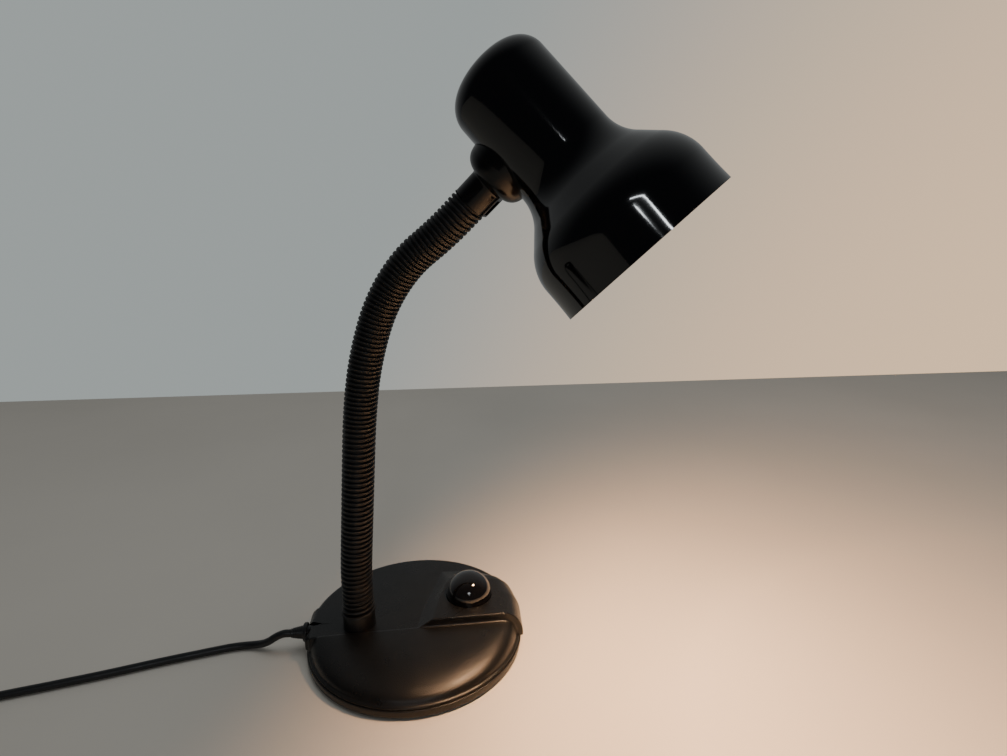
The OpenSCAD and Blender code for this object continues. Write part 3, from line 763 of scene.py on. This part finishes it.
# Ribs are counted from the foot in turns of the helix, and each turn has its place along the neck.
def placeOf(turns):
    lowTurns = neck["lowRibs"] * neck["lowLinks"]
    if turns <= lowTurns:
        return turns * linkLength / neck["lowRibs"]
    return neck["lowLinks"] * linkLength + (turns - lowTurns) * linkLength / neck["highRibs"]


def turnsAt(s):
    lowLength = neck["lowLinks"] * linkLength
    if s <= lowLength:
        return s * neck["lowRibs"] / linkLength
    return neck["lowRibs"] * neck["lowLinks"] + (s - lowLength) * neck["highRibs"] / linkLength


# One stretch of the sleeve: a helix of ribs, cut square at its ends, bored, and bent to the neck's line.
def makeSleeve(name, start, end):
    first, last = turnsAt(start), turnsAt(end)
    lowest = math.floor(first) - 1
    piece = chain(name, [(radius, 0, lowest + f) for f, radius in neck["ribLine"]])
    applied(piece, "SCREW", screw_offset=1, iterations=math.ceil(last) - lowest + 1, steps=neck["sides"],
            render_steps=neck["sides"])
    edit(piece)
    bpy.ops.mesh.remove_doubles(threshold=0.0005)
    bpy.ops.mesh.bisect(plane_co=(0, 0, first), plane_no=(0, 0, 1), clear_inner=True)
    bpy.ops.mesh.select_all(action="SELECT")
    bpy.ops.mesh.bisect(plane_co=(0, 0, last), plane_no=(0, 0, 1), clear_outer=True)
    done()
    stations = 14
    bore = turned("bore", [
        (neck["boreRadius"], first + (last - first) * i / stations) for i in range(stations + 1)
    ], neck["sides"])
    piece = joined(name, [piece, bore])
    for level in (first, last):  # the helix and its bore are bridged at both ends
        bpy.ops.object.mode_set(mode="EDIT")
        bpy.ops.mesh.select_mode(type="EDGE")
        bpy.ops.mesh.select_all(action="DESELECT")
        bpy.ops.object.mode_set(mode="OBJECT")
        spots = piece.data.vertices
        for edge in piece.data.edges:
            edge.select = all(abs(spots[i].co.z - level) < 0.0002 for i in edge.vertices)
        bpy.ops.object.mode_set(mode="EDIT")
        bpy.ops.mesh.bridge_edge_loops()
        done()
    low, high = neck["grooveRadius"], neck["ribRadius"]
    ribTop = piece.data.attributes.new("ribTop", "FLOAT", "POINT")
    for i, spot in enumerate(piece.data.vertices):
        radius = spot.co.xy.length
        height = min(max((radius - low) / (high - low), 0), 1)
        ribTop.data[i].value = height
        s = placeOf(spot.co.z)
        swell = 1 + neck["footSwell"] * math.exp(-s * s / 20) * height / radius  # the lowest ribs are fuller
        lean = leanAt(s)
        u, v = onNeck(s)
        x, y = spot.co.x * swell, spot.co.y * swell
        spot.co = (u + x * math.cos(lean), y, v - x * math.sin(lean))
    edit(piece)
    bpy.ops.mesh.normals_make_consistent(inside=False)
    done()
    return smooth(piece, 40)


neckFerrule = paint(place(makeFerrule()), "ferrulePlastic")
sleeves = []
for i in range(1, neck["links"]):
    start = 0 if i == 1 else (i - 0.5) * linkLength
    end = neck["length"] if i == neck["links"] - 1 else (i + 0.5) * linkLength
    sleeve = paint(place(makeSleeve(f"neckSleeve{i}", start, end), atNeck), "ribRubber")
    middle = [Vector((onNeck(i * linkLength + d)[0], 0, onNeck(i * linkLength + d)[1])) for d in (-12, 12)]
    middle = [toMetres @ atNeck @ spot for spot in middle]
    sleeves.append((sleeve, middle))
print("neck", sum(len(sleeve.data.polygons) for sleeve, _ in sleeves))


def makeCollar():
    x0 = -reach
    x1 = x0 + shade["collar"]
    radius, outer = shade["collarRadius"], shade["rosette"]
    tube = turned("collar", [
        (0, x0), (radius - 0.4, x0), (radius, x0 + 0.4), (radius, x1 + 4), (0, x1 + 4),
    ], 128)
    rosette = turned("rosette", [(0, x1 - 0.5), (radius + 0.2, x1 - 0.5)]
                     + arc((outer - 9.5, x1 + 9), 9, -80, -10, 12)
                     + [(outer, -28), (outer, -20), (0, -20)], 128)
    pad = block("pad", (x0 + 1, -4.5, -radius - 0.7), (x0 + 14.5, 4.5, -3))
    collar = joined("headCollar", [turn(tube, 90, "Y"), turn(rosette, 90, "Y"), pad])
    applied(collar, "REMESH", mode="VOXEL", voxel_size=0.4)
    applied(collar, "SMOOTH", factor=0.5, iterations=3)
    cut(collar, bar("cap", shade["cap"] + 0.03, -60, 120, 256))
    cut(collar, block("pocket", (x0 + 2.5, -2.8, -radius - 2.1), (x0 + 13, 2.8, -radius + 1.5)))
    cut(collar, turn(bar("hole", shade["socket"], x0 - 1, 7.6), 90, "Y"))
    cut(collar, turn(bar("hole", shade["nipple"], x0, 60), 90, "Y"))
    applied(collar, "DECIMATE", ratio=0.5)
    return smooth(collar, 40)


def makeShade():
    rim, cap, wall, crown = shade["rim"], shade["cap"], shade["wallHeight"], shade["crown"]
    wallRadius = rim - 0.6
    crownFoot = shade["length"] - crown - 1.5
    line = [(wallRadius + 0.6 * (1 - i / 8) ** 2, wall * i / 8) for i in range(9)]
    line += arc((wallRadius - shade["shoulder"], wall), shade["shoulder"], 2, 45, 22)
    line += [(cap + shade["throat"] - r * math.cos(math.radians(a)), 66 - r * math.sin(math.radians(a)))
             for r, a in [(shade["throat"], 45 - 2.5 * i) for i in range(19)]]
    line += [(cap - 0.3 * i / 6, 66 + (crownFoot - 66) * i / 6) for i in range(1, 7)]
    line += arc((cap - 0.3 - crown, crownFoot), crown, 4.5, 81, 17)
    edgeRadius, edgeHeight = line[-1]
    rise = shade["length"] - edgeHeight
    line += [(edgeRadius * (1 - i / 8), edgeHeight + rise * (1 - (1 - i / 8) ** 2)) for i in range(1, 9)]
    line[-1] = (0, shade["length"])
    bell = turned("shadeBell", line, 192)
    paint(bell, "shadeBlack", "shadeInside")
    applied(bell, "SOLIDIFY", thickness=shade["sheet"], offset=-1, material_offset=1)
    hole = turn(bar("hole", shade["nippleHole"], -60, 60), 90, "Y")
    cut(bell, shift(hole, 0, 0, shade["rosetteHeight"]))
    clear()
    bead = shade["bead"]
    bpy.ops.mesh.primitive_torus_add(
        location=(0, 0, bead), major_radius=rim - bead - 0.15, minor_radius=bead,
        major_segments=192, minor_segments=14,
    )
    roll = named("rimBead")
    bpy.ops.object.transform_apply()
    paint(roll, "shadeBlack")
    return smooth(joined("shadeBell", [bell, roll]), 40)


# A round glass whose fillet meets the ball at one angle and runs down into the throat.
def makeBulb():
    ball, middle, throat, top = bulb["ball"], bulb["middle"], bulb["throat"], bulb["top"]
    meets = math.radians(bulb["meets"])
    fillet = (ball * math.cos(meets) - throat) / (1 - math.cos(meets))
    line = [(0, middle - ball)] + arc((0, middle), ball, -87, bulb["meets"], 43)
    height = middle + (ball + fillet) * math.sin(meets)
    for a in range(bulb["meets"] - 3, -1, -3):
        inward, down = fillet * math.cos(math.radians(a)), fillet * math.sin(math.radians(a))
        line.append((throat + fillet - inward, height - down))
    line += [(throat, top - 0.4), (throat - 0.4, top), (0, top)]
    return smooth(turned("bulbGlass", line, 96), 40)


headCollar = paint(place(makeCollar(), atRosette), "collarGloss")
shadeBell = place(makeShade(), atHead)
bulbGlass = paint(place(makeBulb(), atHead), "bulbFrosted")
print("head", len(headCollar.data.polygons), len(shadeBell.data.polygons))

# What each piece stands for, and the body that it rides on; the lengths of sleeve are only set in place over
# their nodes.

for piece, body, nodes in (
    (baseCover, "base", ["base_cover"]), (baseTray, "base", ["base_tray"]),
    (neckFerrule, "base", ["neck_ferrule"]), (strainRelief, "base", ["cord_bushing"]),
    (lead, "base", ["cord", "cord_coil", "cord_tail"]), (plugBody, "base", ["plug_body"]),
    (pushButton, "button", ["push_button"]), (headCollar, "head", ["head_collar"]),
    (shadeBell, "head", ["shade"]), (bulbGlass, "head", ["bulb_glass"]),
    (buttonSpring, "base", ["button_spring"]),
):
    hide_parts(*nodes)
    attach(piece, body)
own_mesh(buttonSpring)
for i, (sleeve, (start, end)) in enumerate(sleeves, 1):
    over = "head" if i == len(sleeves) else f"link_{i + 1}"
    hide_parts(f"neck_sleeve_{i}", *(["neck_sleeve_11"] if over == "head" else []))
    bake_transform(sleeve)

light = {
    "floor": (-1.6, 1.6, -1.4, 0.75),  # x from and to, y from and to, in metres
    # wallCool and wallWarm are painted light on the wall the camera sees: cool daylight at the left, the
    # bulb's warm glow at the right.
    "wallCool": (0.36, 0.395, 0.39),
    "wallWarm": (1.1, 0.76, 0.47),
    "wallGlow": (0.24, 0.25, 0.25),
    "roomDark": (0.03, 0.032, 0.036),
    "bulb": (1.0, 0.58, 0.31),
    "bulbPower": 12,
    "cone": 176,  # the bulb's light is cut off by the shade's rim
    "coneBlend": 0.65,
    "skyColour": (0.9, 0.96, 1.0),
    "skyPower": 12,
    # Two tubes far off at the front give the pale strips on the bell.
    "tubeColour": (0.92, 0.97, 1.0),
    "tubeAim": (0.11, -0.12, 0.295),
    "tubes": (
        ("longTube", (-0.058, -1.87, 1.25), (0.6, 0.04), 3.6),
        ("shortTube", (-0.11, -2.0, 0.95), (0.12, 0.04), 0.75),
    ),
}


def makeFloor():
    x0, x1, y0, y1 = light["floor"]
    clear()
    bpy.ops.mesh.primitive_plane_add(size=1, location=((x0 + x1) / 2, (y0 + y1) / 2, 0))
    floor = named("floor")
    floor.data.transform(Matrix.Diagonal((x1 - x0, y1 - y0, 1, 1)))
    bpy.ops.object.transform_apply()
    finish("floorCloth", (0.64, 0.585, 0.51), 0.9, mottle=(3, 0.97, 1.02), grain=(9, 0.05, 0.004))
    paint(floor, "floorCloth")


# The world is pale where the camera sees it, with painted light on it: cool daylight to the left and the
# bulb's warm glow to the right. Elsewhere it is a dark room.
def makeWorld():
    world = bpy.data.worlds.new("room")
    world.use_nodes = True
    bpy.context.scene.world = world
    nodes, links = world.node_tree.nodes, world.node_tree.links
    where = nodes.new("ShaderNodeTexCoord").outputs["Generated"]

    def ramp(along, low, high, first, second):
        share = nodes.new("ShaderNodeVectorMath")
        share.operation = "DOT_PRODUCT"
        share.inputs[1].default_value = along
        links.new(where, share.inputs[0])
        spread = nodes.new("ShaderNodeMapRange")
        spread.inputs["From Min"].default_value = low
        spread.inputs["From Max"].default_value = high
        links.new(share.outputs["Value"], spread.inputs["Value"])
        colours = nodes.new("ShaderNodeValToRGB")
        colours.color_ramp.interpolation = "EASE"
        colours.color_ramp.elements[0].color = (*first, 1)
        colours.color_ramp.elements[1].color = (*second, 1)
        links.new(spread.outputs["Result"], colours.inputs["Fac"])
        return colours.outputs["Color"]

    path = nodes.new("ShaderNodeLightPath")
    seen = nodes.new("ShaderNodeMix")
    seen.data_type = "RGBA"
    links.new(path.outputs["Is Camera Ray"], seen.inputs["Factor"])
    links.new(ramp((0, 0.8, 0.45), -0.1, 0.9, light["roomDark"], light["wallGlow"]), seen.inputs[6])
    # Camera rays see painted light: cool to the left, the bulb's warm glow to the right.
    links.new(ramp((0.9, 0, -0.45), -0.1, 0.85, light["wallCool"], light["wallWarm"]), seen.inputs[7])
    links.new(seen.outputs[2], nodes["Background"].inputs["Color"])


def addLamp(name, spot, aim, size, power, colour, kind="AREA"):
    clear()
    bpy.ops.object.light_add(type=kind, location=spot)
    lamp = bpy.context.object
    lamp.name = name
    lamp.rotation_euler = (Vector(aim) - Vector(spot)).to_track_quat("-Z", "Y").to_euler()
    lamp.data.energy = power
    lamp.data.color = colour
    if kind == "AREA":
        lamp.data.shape = "RECTANGLE"
        lamp.data.size, lamp.data.size_y = size
    else:
        lamp.data.shadow_soft_size = size
        lamp.data.spot_size, lamp.data.spot_blend = math.radians(light["cone"]), light["coneBlend"]
    return lamp


makeFloor()
makeWorld()
skylight = addLamp("skylight", (0.3, 0.1, 2.2), (0, 0, 0), (1.8, 1.4), light["skyPower"], light["skyColour"])
skylight.visible_glossy = False
for name, spot, size, power in light["tubes"]:
    addLamp(name, spot, light["tubeAim"], size, power, light["tubeColour"])
bulbSpot = toMetres @ atHead @ Vector((0, 0, 2))
bulbAim = bulbSpot - (atHead.to_3x3() @ Vector((0, 0, 1)))
bulbGlow = addLamp("bulbGlow", bulbSpot, bulbAim, 0.02, light["bulbPower"], light["bulb"], "SPOT")
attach(bulbGlow, "head")
print("light")
